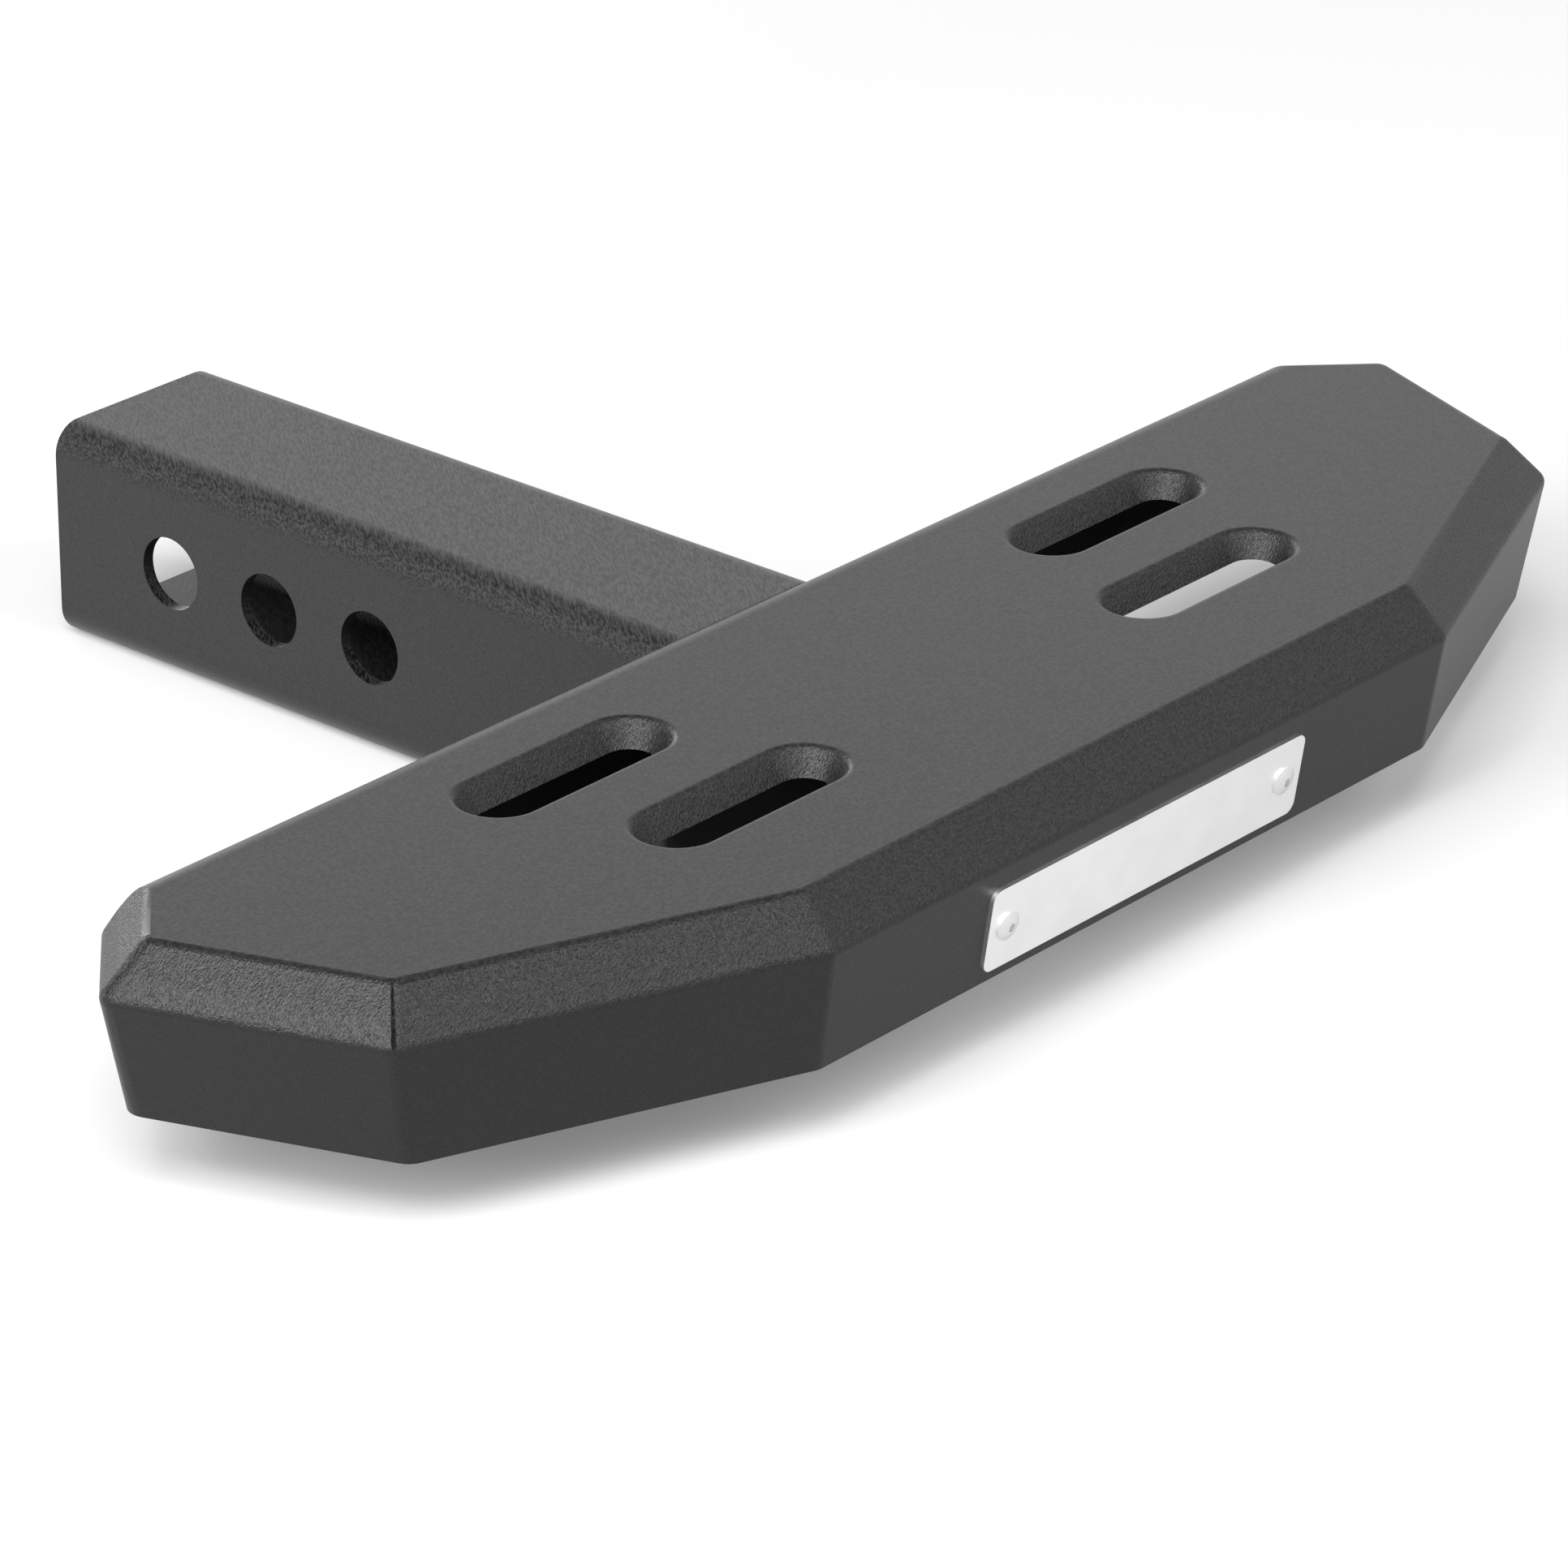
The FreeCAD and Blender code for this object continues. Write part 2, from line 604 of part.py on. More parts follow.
def add_slots(body):
    """Four slots, each pressed down into a sloping flange, with a rounded rim."""
    inside_sheet = "(sheet_thickness / 2)"
    flange = []
    for drop in (inside_sheet, "slot_flange_depth"):
        flange.append((drop, f"({slot_radius(drop)} + slot_flange_wall)"))
    hole = [("0", "slot_rim_radius"), ("slot_flange_depth", "slot_hole_radius")]
    for name, middle, setback in SLOT_PLACES:
        slot_loft(body, f"{name}Flange", "PartDesign::AdditiveLoft", middle, setback, flange)
    for name, middle, setback in SLOT_PLACES:
        slot_loft(body, f"{name}Slot", "PartDesign::SubtractiveLoft", middle, setback, hole)

    level = at_height(TOP)
    reach = amount("slot_straight") / 2 + amount("slot_rim_radius") + 0.01
    depth = amount("slot_rim_radius") + 0.01
    middles = [VECTOR(amount(middle), amount(up), 0) for name, middle, up in SLOT_PLACES]

    def on_rim(point):
        beside = [abs(point.x - m.x) < reach and abs(point.y - m.y) < depth for m in middles]
        return level(point) and any(beside)

    base = body.Tip
    fillet(body, "SlotLips", base, edges_where(base.Shape, on_rim), "slot_lip_radius")


def make_step_plate():
    """The tread: a formed sheet shell, open underneath."""
    body = new_body("step_plate")
    beyond = f"({REAR_WALL} + rear_overrun)"
    below_bevel = [f"(bevel_run - {draft})" for draft in DRAFTS]
    outside = [
        ("TopOutline", TOP, ["0"] * 3, "top_corner_radius"),
        ("FoldOutline", FOLD, ["bevel_run"] * 3, "fold_corner_radius"),
        ("SkirtOutline", SKIRT_BOTTOM, below_bevel, "skirt_corner_radius"),
    ]
    sections = []
    for name, height, shifts, corner in outside:
        sections.append(tread_outline_sketch(body, name, height, shifts, beyond, corner))
    loft(body, "Outside", "PartDesign::AdditiveLoft", sections)

    # Soft folds above and below the bevel, all round but not along the rear
    back = amount(beyond)
    for name, height in (("TopFold", TOP), ("LowerFold", FOLD)):
        level = at_height(height)
        base = body.Tip
        edges = edges_where(base.Shape, level)
        rear = edges_where(base.Shape, lambda point: level(point) and abs(point.y - back) < 0.001)
        fillet(body, name, base, [edge for edge in edges if edge not in rear], "fold_radius")

    # The rear is trimmed to the bend and the wall behind the tread
    trim = new_sketch(body, "RearTrimOutline", "YZ_Plane", "0")
    rear_trim_sketch(trim)
    pocket(body, "RearTrim", trim, "widest_half_width * 4", midplane=True)

    # The hollow underneath, with the inside of the rear bend
    at_fold = [inside_shift(draft, INSIDE_FOLD_DROP) for draft in DRAFTS]
    at_bottom = [inside_shift(draft, "skirt_height") for draft in DRAFTS]
    inside = [
        ("InsideTopOutline", UNDERSIDE, [INSIDE_TOP_SHIFT] * 3, "inside_top_corner"),
        ("InsideFoldOutline", INSIDE_FOLD, at_fold, "inside_fold_corner"),
        ("InsideSkirtOutline", SKIRT_BOTTOM, at_bottom, "inside_skirt_corner"),
    ]
    sections = []
    for name, height, shifts, corner in inside:
        sections.append(tread_outline_sketch(body, name, height, shifts, REAR_WALL_INSIDE, corner))
    before = body.Shape.Volume
    loft(body, "Hollow", "PartDesign::SubtractiveLoft", sections)
    if not body.Shape.Volume < before / 2:
        raise RuntimeError("the tread is not hollow")
    wall = amount(REAR_WALL_INSIDE)
    level = at_height(UNDERSIDE)
    base = body.Tip
    edges = edges_where(base.Shape, lambda point: level(point) and abs(point.y - wall) < 0.001)
    fillet(body, "RearBendInside", base, edges, "rear_bend_radius - sheet_thickness")

    # The tube passes through the rear wall
    notch = new_sketch(body, "NotchOutline", "XZ_Plane", f"(rear_overrun - {REAR_WALL})")
    notch_sketch(notch)
    pocket(body, "Notch", notch, "2 * rear_overrun")
    add_seams(body)
    add_slots(body)
    add_rivet_holes(body)
    return body


def rear_trim_sketch(sketch):
    """The region behind the rear wall and its bend, seen along the tread.

    The sketch lies across the tread: its first axis is the part's Y and its second is Z.
    """
    wall = amount(REAR_WALL)
    top = amount(TOP)
    low = amount(SKIRT_BOTTOM)
    radius = amount("rear_bend_radius")
    margin = amount("rear_overrun")
    points = [
        VECTOR(wall - radius, top, 0),
        VECTOR(wall - radius, top + margin, 0),
        VECTOR(wall + 2 * margin, top + margin, 0),
        VECTOR(wall + 2 * margin, low - margin, 0),
        VECTOR(wall, low - margin, 0),
        VECTOR(wall, top - radius, 0),
    ]
    lines = []
    for start, end in zip(points, points[1:]):
        lines.append(sketch.addGeometry(Part.LineSegment(start, end), False))
    centre = VECTOR(wall - radius, top - radius, 0)
    bend = sketch.addGeometry(arc_between(centre, points[-1], points[0]), False)
    for before, after in zip(lines, lines[1:]):
        add_constraint(sketch, "Coincident", (before, 2, after, 1))
    add_constraint(sketch, "Tangent", (lines[-1], 2, bend, 1))
    add_constraint(sketch, "Coincident", (bend, 2, lines[0], 1))
    for line, kind in zip(lines, ("Vertical", "Horizontal", "Vertical", "Horizontal", "Vertical")):
        add_constraint(sketch, kind, (line,))
    add_constraint(sketch, "Vertical", (bend, 3, bend, 2))
    place_point(sketch, bend, 3, f"{REAR_WALL} - rear_bend_radius", f"{TOP} - rear_bend_radius")
    add_constraint(sketch, "Radius", (bend,), "rear_bend_radius")
    place_point(sketch, lines[1], 2, f"{REAR_WALL} + 2 * rear_overrun", f"{TOP} + rear_overrun")
    add_constraint(sketch, "DistanceY", (-1, 1, lines[3], 2), f"{SKIRT_BOTTOM} - rear_overrun")
    check_sketch(sketch)


def notch_sketch(sketch):
    """The opening for the tube in the rear wall: round upper corners, open below."""
    half = f"({TUBE_HALF} + notch_clearance)"
    side = amount(half)
    high = amount(UNDERSIDE)
    low = amount(SKIRT_BOTTOM) - amount("rear_overrun")
    radius = amount("tube_corner_radius")
    shoulder = high - radius
    left = sketch.addGeometry(Part.LineSegment(VECTOR(-side, low, 0), VECTOR(side, low, 0)), False)
    up = sketch.addGeometry(Part.LineSegment(VECTOR(side, low, 0), VECTOR(side, shoulder, 0)), False)
    centre = VECTOR(side - radius, shoulder, 0)
    right_bend = sketch.addGeometry(
        arc_between(centre, VECTOR(side, shoulder, 0), VECTOR(side - radius, high, 0)), False
    )
    top = sketch.addGeometry(
        Part.LineSegment(VECTOR(side - radius, high, 0), VECTOR(radius - side, high, 0)), False
    )
    centre = VECTOR(radius - side, shoulder, 0)
    left_bend = sketch.addGeometry(
        arc_between(centre, VECTOR(radius - side, high, 0), VECTOR(-side, shoulder, 0)), False
    )
    down = sketch.addGeometry(Part.LineSegment(VECTOR(-side, shoulder, 0), VECTOR(-side, low, 0)), False)
    add_constraint(sketch, "Coincident", (left, 2, up, 1))
    add_constraint(sketch, "Tangent", (up, 2, right_bend, 1))
    add_constraint(sketch, "Tangent", (right_bend, 2, top, 1))
    add_constraint(sketch, "Tangent", (top, 2, left_bend, 1))
    add_constraint(sketch, "Tangent", (left_bend, 2, down, 1))
    add_constraint(sketch, "Coincident", (down, 2, left, 1))
    add_constraint(sketch, "Horizontal", (left,))
    add_constraint(sketch, "Vertical", (up,))
    add_constraint(sketch, "Vertical", (down,))
    add_constraint(sketch, "Horizontal", (top,))
    add_constraint(sketch, "Radius", (right_bend,), "tube_corner_radius")
    add_constraint(sketch, "Equal", (right_bend, left_bend))
    place_point(sketch, left, 1, f"(0 - {half})", f"({SKIRT_BOTTOM} - rear_overrun)")
    place_point(sketch, right_bend, 3, f"{half} - tube_corner_radius", f"{UNDERSIDE} - tube_corner_radius")
    check_sketch(sketch)


def round_side_weld_sketch(sketch, sign):
    """The section of a side weld: it fills the groove between the tube's round corner and the sheet."""
    half = amount(TUBE_HALF)
    radius = amount("tube_corner_radius")
    high = amount(UNDERSIDE)
    low = high - amount("weld_drop")
    reach = half + amount("weld_leg")
    centre = VECTOR(sign * (half - radius), high - radius, 0)
    crown = VECTOR(centre.x, high, 0)
    flank = VECTOR(sign * half, centre.y, 0)
    foot = VECTOR(sign * half, low, 0)
    toe = VECTOR(sign * reach, high, 0)
    chord = toe - foot
    outward = VECTOR(chord.y, -chord.x, 0).normalize() * sign
    belly = (foot + toe) * 0.5 + outward * amount("weld_bulge")

    if sign > 0:
        groove = sketch.addGeometry(arc_between(centre, flank, crown), False)
        face = sketch.addGeometry(Part.Arc(foot, belly, toe), False)
        at_flank, at_crown, at_foot, at_toe = 1, 2, 1, 2
    else:
        groove = sketch.addGeometry(arc_between(centre, crown, flank), False)
        face = sketch.addGeometry(Part.Arc(toe, belly, foot), False)
        at_flank, at_crown, at_foot, at_toe = 2, 1, 2, 1
    side = sketch.addGeometry(Part.LineSegment(flank, foot), False)
    seat = sketch.addGeometry(Part.LineSegment(toe, crown), False)
    across = "1" if sign > 0 else "(0 - 1)"
    add_constraint(sketch, "Coincident", (groove, at_flank, side, 1))
    add_constraint(sketch, "Coincident", (side, 2, face, at_foot))
    add_constraint(sketch, "Coincident", (face, at_toe, seat, 1))
    add_constraint(sketch, "Coincident", (seat, 2, groove, at_crown))
    add_constraint(sketch, "Vertical", (side,))
    add_constraint(sketch, "Horizontal", (seat,))
    add_constraint(sketch, "Vertical", (groove, 3, groove, at_crown))
    add_constraint(sketch, "Horizontal", (groove, 3, groove, at_flank))
    add_constraint(sketch, "Radius", (groove,), "tube_corner_radius")
    centre_across = f"{across} * ({TUBE_HALF} - tube_corner_radius)"
    place_point(sketch, groove, 3, centre_across, f"{UNDERSIDE} - tube_corner_radius")
    add_constraint(sketch, "DistanceY", (-1, 1, side, 2), f"{UNDERSIDE} - weld_drop")
    add_constraint(sketch, "DistanceX", (-1, 1, seat, 1), f"{across} * ({TUBE_HALF} + weld_leg)")
    add_constraint(sketch, "Radius", (face,), bulge_radius("hypot(weld_leg; weld_drop)"))
    check_sketch(sketch)


def bulge_radius(chord):
    """The radius of a weld's face over a chord."""
    return f"(({chord}) ^ 2 / (8 * weld_bulge) + weld_bulge / 2)"


def bead_sketch(sketch, corner, first, second, leg):
    """A fillet weld's section: a corner, its two toes, and a face that stands out a little.

    The corner, the first toe and the second run anticlockwise.
    """
    root = VECTOR(amount(corner[0]), amount(corner[1]), 0)
    start = VECTOR(amount(first[0]), amount(first[1]), 0)
    end = VECTOR(amount(second[0]), amount(second[1]), 0)
    chord = end - start
    outward = VECTOR(chord.y, -chord.x, 0).normalize()
    belly = (start + end) * 0.5 + outward * amount("weld_bulge")
    lower = sketch.addGeometry(Part.LineSegment(root, start), False)
    face = sketch.addGeometry(Part.Arc(start, belly, end), False)
    upper = sketch.addGeometry(Part.LineSegment(end, root), False)
    add_constraint(sketch, "Coincident", (lower, 2, face, 1))
    add_constraint(sketch, "Coincident", (face, 2, upper, 1))
    add_constraint(sketch, "Coincident", (upper, 2, lower, 1))
    place_point(sketch, lower, 1, *corner)
    place_point(sketch, lower, 2, *first)
    place_point(sketch, upper, 1, *second)
    add_constraint(sketch, "Radius", (face,), bulge_radius(f"{leg} * sqrt(2)"))
    check_sketch(sketch)


def lean_with_skirt(body, across):
    """Set a body on the front skirt: its XZ plane becomes the skirt's outside face."""
    body.Placement = FreeCAD.Placement(VECTOR(0, 0, 0), FreeCAD.Rotation(VECTOR(1, 0, 0), 1))
    body.setExpression("Placement.Rotation.Angle", bound(SKIRT_ANGLE))
    body.setExpression("Placement.Base.x", bound(across))
    body.setExpression("Placement.Base.y", bound(NAMEPLATE_Y))
    body.setExpression("Placement.Base.z", bound(NAMEPLATE_Z))
    DOC.recompute()


# The nameplate's middle, on the outside face of the front skirt
NAMEPLATE_Y = f"({FLAT_FRONT} - bevel_run + nameplate_drop * front_draft / {SKIRT_LENGTH})"
NAMEPLATE_Z = f"({FOLD} - nameplate_drop * skirt_height / {SKIRT_LENGTH})"
RIVET_HOLE = "(rivet_diameter + 2 * rivet_clearance)"
RIVET_RIGHT = "(nameplate_width / 2 - rivet_inset)"
RIVET_LEFT = f"(0 - {RIVET_RIGHT})"


def add_rivet_holes(body):
    """Two holes through the front skirt, square to it."""
    for name, across in (("Left", RIVET_LEFT), ("Right", RIVET_RIGHT)):
        sketch = new_sketch(body, f"RivetHoleOutline{name}", "XZ_Plane", f"(0 - {NAMEPLATE_Y})")
        sketch.AttachmentOffset = FreeCAD.Placement(
            VECTOR(0, amount(NAMEPLATE_Z), -amount(NAMEPLATE_Y)), FreeCAD.Rotation(VECTOR(1, 0, 0), 1)
        )
        sketch.setExpression("AttachmentOffset.Rotation.Angle", bound(SKIRT_ANGLE))
        sketch.setExpression("AttachmentOffset.Base.y", bound(NAMEPLATE_Z))
        DOC.recompute()
        circle_sketch(sketch, across, "0", RIVET_HOLE)
        pocket(body, f"RivetHole{name}", sketch, "sheet_thickness * 2")


def make_receiver_tube():
    """The square tube, with pin holes through both side walls."""
    body = new_body("receiver_tube")
    outline = new_sketch(body, "TubeOutline", "XZ_Plane", f"(0 - {OPEN_END})")
    low = f"(0 - {TUBE_HALF})"
    rounded_rectangle_sketch(outline, TUBE_HALF, low, TUBE_HALF, "tube_corner_radius")
    length = f"{OPEN_END} - {INNER_END}"
    pad(body, "Tube", outline, length)
    bore = new_sketch(body, "TubeBoreOutline", "XZ_Plane", f"(0 - {OPEN_END})")
    inside = f"({TUBE_HALF} - tube_wall)"
    rounded_rectangle_sketch(bore, inside, f"(0 - {inside})", inside, "tube_inner_corner")
    pocket(body, "TubeBore", bore, length, reverse=True)

    hole = new_sketch(body, "PinHoleOutline", "YZ_Plane", "0")
    circle_sketch(hole, "pin_hole_spacing * (pin_hole_count - 1) / 2", "0", "pin_hole_diameter")
    first = pocket(body, "PinHole", hole, "tube_side * 2", midplane=True)
    row = body.newObject("PartDesign::LinearPattern", "PinHoleRow")
    row.Originals = [first]
    row.Direction = (hole, ["H_Axis"])
    row.Reversed = True
    row.setExpression("Length", bound("pin_hole_spacing * (pin_hole_count - 1)"))
    row.setExpression("Occurrences", bound("pin_hole_count"))
    body.Tip = row
    DOC.recompute()
    return body


def make_nameplate():
    """A thin bright plate with round corners and a hole at each end."""
    body = new_body("nameplate")
    outline = new_sketch(body, "NameplateOutline", "XZ_Plane", "0")
    rounded_rectangle_sketch(
        outline,
        "nameplate_width / 2",
        "(0 - nameplate_height / 2)",
        "nameplate_height / 2",
        "nameplate_corner_radius",
    )
    pad(body, "NameplateSheet", outline, "nameplate_thickness")
    for name, across in (("Left", RIVET_LEFT), ("Right", RIVET_RIGHT)):
        hole = new_sketch(body, f"NameplateHoleOutline{name}", "XZ_Plane", "0")
        circle_sketch(hole, across, "0", RIVET_HOLE)
        pocket(body, f"NameplateHole{name}", hole, "nameplate_thickness", reverse=True)
    lean_with_skirt(body, "0")
    return body


def make_rivet(name, across):
    """A pulled rivet: domed head with the stem's hollow, shank, and the tail formed behind."""
    body = new_body(name)
    face = "(0 - nameplate_thickness)"
    crown = "(0 - nameplate_thickness - rivet_head_height)"
    core = f"({crown} + rivet_core_depth)"
    tail_end = "(sheet_thickness + rivet_tail_length)"
    outline = new_sketch(body, f"{name}_outline", "XY_Plane", "0")
    corners = [
        ("0", core),
        ("rivet_core_diameter / 2", core),
        ("rivet_core_diameter / 2", crown),
        ("rivet_head_diameter / 2", f"({face} - rivet_head_edge)"),
        ("rivet_head_diameter / 2", face),
        ("rivet_diameter / 2", face),
        ("rivet_diameter / 2", "sheet_thickness"),
        ("rivet_tail_diameter / 2", "sheet_thickness"),
        ("rivet_tail_diameter / 2", f"({tail_end} - rivet_tail_bevel)"),
        ("(rivet_tail_diameter / 2 - rivet_tail_bevel)", tail_end),
        ("0", tail_end),
    ]
    polygon_sketch(outline, corners, domed_side=2)
    turned = body.newObject("PartDesign::Revolution", f"{name}_turned")
    turned.Profile = outline
    turned.ReferenceAxis = (outline, ["V_Axis"])
    turned.Angle = 360
    body.Tip = turned
    DOC.recompute()
    lean_with_skirt(body, across)
    return body


def make_side_weld(name, sign):
    """The weld along one side of the tube, under the tread."""
    body = new_body(name)
    section = new_sketch(body, f"{name}_section", "XZ_Plane", f"(0 - {REAR_BEND})")
    round_side_weld_sketch(section, sign)
    pad(body, f"{name}_bead", section, f"{REAR_BEND} - {INNER_END}")
    return body


def make_front_weld():
    """The weld across the tube's inner end."""
    body = new_body("weld_front")
    section = new_sketch(body, "weld_front_section", "YZ_Plane", "0")
    leg = "weld_front_leg"
    bead_sketch(
        section,
        (INNER_END, UNDERSIDE),
        (f"({INNER_END} - {leg})", UNDERSIDE),
        (INNER_END, f"({UNDERSIDE} - {leg})"),
        leg,
    )
    pad(body, "weld_front_bead", section, "tube_side - 2 * tube_corner_radius", midplane=True)
    return body


def make_rear_weld(name, sign):
    """The upright weld beside the tube, on the outside of the rear wall."""
    body = new_body(name)
    low = f"({SKIRT_BOTTOM} + weld_end_gap)"
    section = new_sketch(body, f"{name}_section", "XY_Plane", low)
    side = TUBE_HALF if sign > 0 else f"(0 - {TUBE_HALF})"
    toe = f"({TUBE_HALF} + weld_rear_leg)" if sign > 0 else f"(0 - {TUBE_HALF} - weld_rear_leg)"
    on_wall = (toe, REAR_WALL)
    on_tube = (side, f"({REAR_WALL} + weld_rear_leg)")
    first, second = (on_wall, on_tube) if sign > 0 else (on_tube, on_wall)
    bead_sketch(section, (side, REAR_WALL), first, second, "weld_rear_leg")
    pad(body, f"{name}_bead", section, f"{UNDERSIDE} - tube_corner_radius - {low}")
    return body


def check_and_export():
    """Every object has to be sound before any file is written."""
    DOC.recompute()
    for item in DOC.Objects:
        if "Invalid" in item.State or "Error" in item.State:
            raise RuntimeError(f"{item.Name} is {item.State}")
    for body in PARTS:
        if body.Shape.isNull() or not body.Shape.isValid():
            raise RuntimeError(f"{body.Label} has no sound shape")
        if len(body.Shape.Solids) != 1:
            raise RuntimeError(f"{body.Label} is not one solid")
    os.makedirs("parts", exist_ok=True)
    for body in PARTS:
        body.Shape.exportStep(f"parts/{body.Label}.step")
        print(f"{body.Label}: {body.Shape.Volume:.0f} mm3, {len(body.Shape.Faces)} faces")


make_step_plate()
make_receiver_tube()
make_nameplate()
make_rivet("rivet_left", RIVET_LEFT)
make_rivet("rivet_right", RIVET_RIGHT)
make_side_weld("weld_left", -1)
make_side_weld("weld_right", 1)
make_front_weld()
make_rear_weld("weld_rear_left", -1)
make_rear_weld("weld_rear_right", 1)
check_and_export()
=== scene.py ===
"""Looks, light and camera for the hitch receiver step.

Metres, in the part's own frame: +Y runs along the tube to the vehicle, +Z is up. The step's shapes
all come from the CAD parts, and only the studio's floor is made here.
"""

import math

import bpy
from mathutils import Matrix, Vector


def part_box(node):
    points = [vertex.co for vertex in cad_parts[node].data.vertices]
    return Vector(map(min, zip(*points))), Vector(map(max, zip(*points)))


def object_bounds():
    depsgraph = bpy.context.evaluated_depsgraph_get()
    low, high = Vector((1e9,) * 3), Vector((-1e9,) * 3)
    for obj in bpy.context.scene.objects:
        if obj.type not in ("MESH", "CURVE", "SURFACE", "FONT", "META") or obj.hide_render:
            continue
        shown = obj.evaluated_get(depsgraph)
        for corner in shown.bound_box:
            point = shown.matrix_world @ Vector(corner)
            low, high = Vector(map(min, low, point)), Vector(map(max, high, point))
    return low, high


MM = 0.001

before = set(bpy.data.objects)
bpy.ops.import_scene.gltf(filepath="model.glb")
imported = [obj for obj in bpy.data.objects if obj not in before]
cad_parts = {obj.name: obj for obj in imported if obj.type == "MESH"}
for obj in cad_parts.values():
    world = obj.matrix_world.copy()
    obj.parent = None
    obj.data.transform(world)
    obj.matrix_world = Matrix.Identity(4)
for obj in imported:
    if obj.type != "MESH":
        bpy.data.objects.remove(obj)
CAD_BOX = [list(corner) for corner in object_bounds()]
LOWEST = CAD_BOX[0][2]
TREAD_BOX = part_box("step_plate")
TREAD_FRONT = TREAD_BOX[0][1]
REAR_WALL = TREAD_BOX[1][1]
TREAD_MIDDLE = tuple((low + high) / 2 for low, high in zip(*TREAD_BOX))

# The camera, at the photograph's place, heading and lens. The picture is square, in pixels.
IMAGE_SIZE = 1932
IMAGE_CENTRE = (922.7, 985.6)
FOCAL_PIXELS = 8583.0
SENSOR_WIDTH = 36.0
CAMERA_PLACE = Vector((-1.0109, -0.9931, 0.6144))
CAMERA_HEADING = math.radians(49.094)
CAMERA_PITCH = math.radians(25.305)
CAMERA_ROLL = math.radians(0.286)

# Colours, written as linear values. The two coats have a darkest and a palest.
TREAD_COLOURS = ((0.003, 0.003, 0.0035), (0.017, 0.017, 0.018))
TUBE_COLOURS = ((0.002, 0.002, 0.0025), (0.032, 0.032, 0.033))
# Near-black painted shade, put on the coats inside the tread and on the tube under it
PAINTED_SHADE_COLOUR = (0.002, 0.002, 0.002)
PLATE_COLOUR = (0.90, 0.90, 0.91)
RIVET_COLOUR = (0.80, 0.80, 0.81)
FLOOR_COLOUR = (0.56, 0.56, 0.56)

# Gloss of the powder coat and of the bright metal
COAT_SPECULAR = 0.32
COAT_ROUGHNESS = 0.36
HIDDEN_ROUGHNESS = 1.0
PLATE_ROUGHNESS = 0.35
RIVET_ROUGHNESS = 0.38
ROUGHNESS_REACH = 0.05

# Lumps of the powder coat, from the finest flecks to the wide orange peel
FLECK_SIZE = 0.42 * MM
GRAIN_WIDTH = 0.45 * MM
BLOTCH_SIZE = 0.8 * MM
GLOSS_SIZE = 1.6 * MM
PEEL_SIZE = 4.0 * MM
PEEL_HEIGHT = 0.02 * MM

# The grain: where it lies, and how many times as long as wide its lumps are
TREAD_GRAIN = Vector((0.78, -0.05, 0.62)).normalized()
TUBE_GRAIN = Vector((0.62, 0.76, 0.10)).normalized()
TREAD_STRETCH = 2.5
TUBE_STRETCH = 7.0

# Values between which a noise mostly lies, and those between which a smudge goes from dark to pale
NOISE_SPREAD = (0.3, 0.7)
SMUDGE_SPREAD = (0.35, 0.65)

# Where a streak has the coat's darkest and its palest colour, when the noise goes from -1 to 1
STREAK_SPREAD = (-0.25, 0.25)

# Upward part of a face's normal, from a wall to a slope and from a slope to a flat top
WALL_TO_SLOPE = (0.05, 0.45)
SLOPE_TO_TOP = (0.80, 0.97)

# The bevel's lowest stretch turns down softly, from this far above the fold to this far
FOLD_HEIGHT = 18.8 * MM
TURN_START = 4.2 * MM
TURN_END = 0.4 * MM
TURN_DEPTH = 0.55 * MM

# Where the coats get painted shade, near black and dull: faces that look down this much, faces
# under the fold that look towards the middle, and the tube as far as the rear wall
FULLY_DOWN = -0.9
HARDLY_DOWN = -0.7
FULLY_INWARD = -10.0 * MM
FOLD_FADE = 1.0 * MM
WALL_FADE = 2.0 * MM

# Smudges and scuffs of the bright metal
SMUDGE_SIZE = 9.0 * MM
SMUDGE_SHADE = 0.96
SCUFF_SIZE = 1.2 * MM
SCUFF_HEIGHT = 0.01 * MM

# The world's strength as a light, and as it looks at the horizon and overhead. Between these
# heights of a direction's end, with 1 straight up, it goes from the one look to the other.
WORLD_FILL = 0.22
WORLD_HORIZON = 1.0
WORLD_OVERHEAD = 0.45
OVERHEAD_START = 0.50
OVERHEAD_FULL = 0.85

# The floor, its lift for the camera near and far from the tread, and its lift in reflections
FLOOR_HALF_WIDTH = 12.0
NEAR_LIFT = 0.20
FAR_LIFT = 0.60
FAR_START = 0.3
FAR_FULL = 2.0
GLOSSY_LIFT = 0.30
GLOSSY_FULL = 80.0 * MM

# Each soft lamp's direction, distance, width and power in watts. All face the same point.
LIGHT_AIM = Vector((0.0, -0.1, 0.0))
LAMPS = {
    "key": ((-0.50, -0.29, 0.81), 6.0, 3.0, 310.0),
    "low_left": ((-0.84, 0.04, 0.54), 3.0, 1.7, 90.0),
    "low_front": ((0.14, -0.75, 0.64), 3.0, 1.4, 34.0),
    "behind": ((0.60, 0.72, 0.34), 5.0, 3.6, 14.0),
    "rear_left": ((0.38, 0.91, 0.12), 5.0, 2.0, 50.0),
}

WHITE = (1.0, 1.0, 1.0)
LENGTHWAYS = Vector((1.0, 0.0, 0.0))


def feed(tree, value, socket):
    """Link a value made by other nodes to a socket, or set a plain number or colour on it."""
    if isinstance(value, bpy.types.NodeSocket):
        tree.links.new(value, socket)
    elif isinstance(value, tuple):
        socket.default_value = (*value, 1.0)
    else:
        socket.default_value = value


def coordinate(tree, kind):
    """A texture coordinate, such as Object for places and Normal for directions."""
    return tree.nodes.new("ShaderNodeTexCoord").outputs[kind]


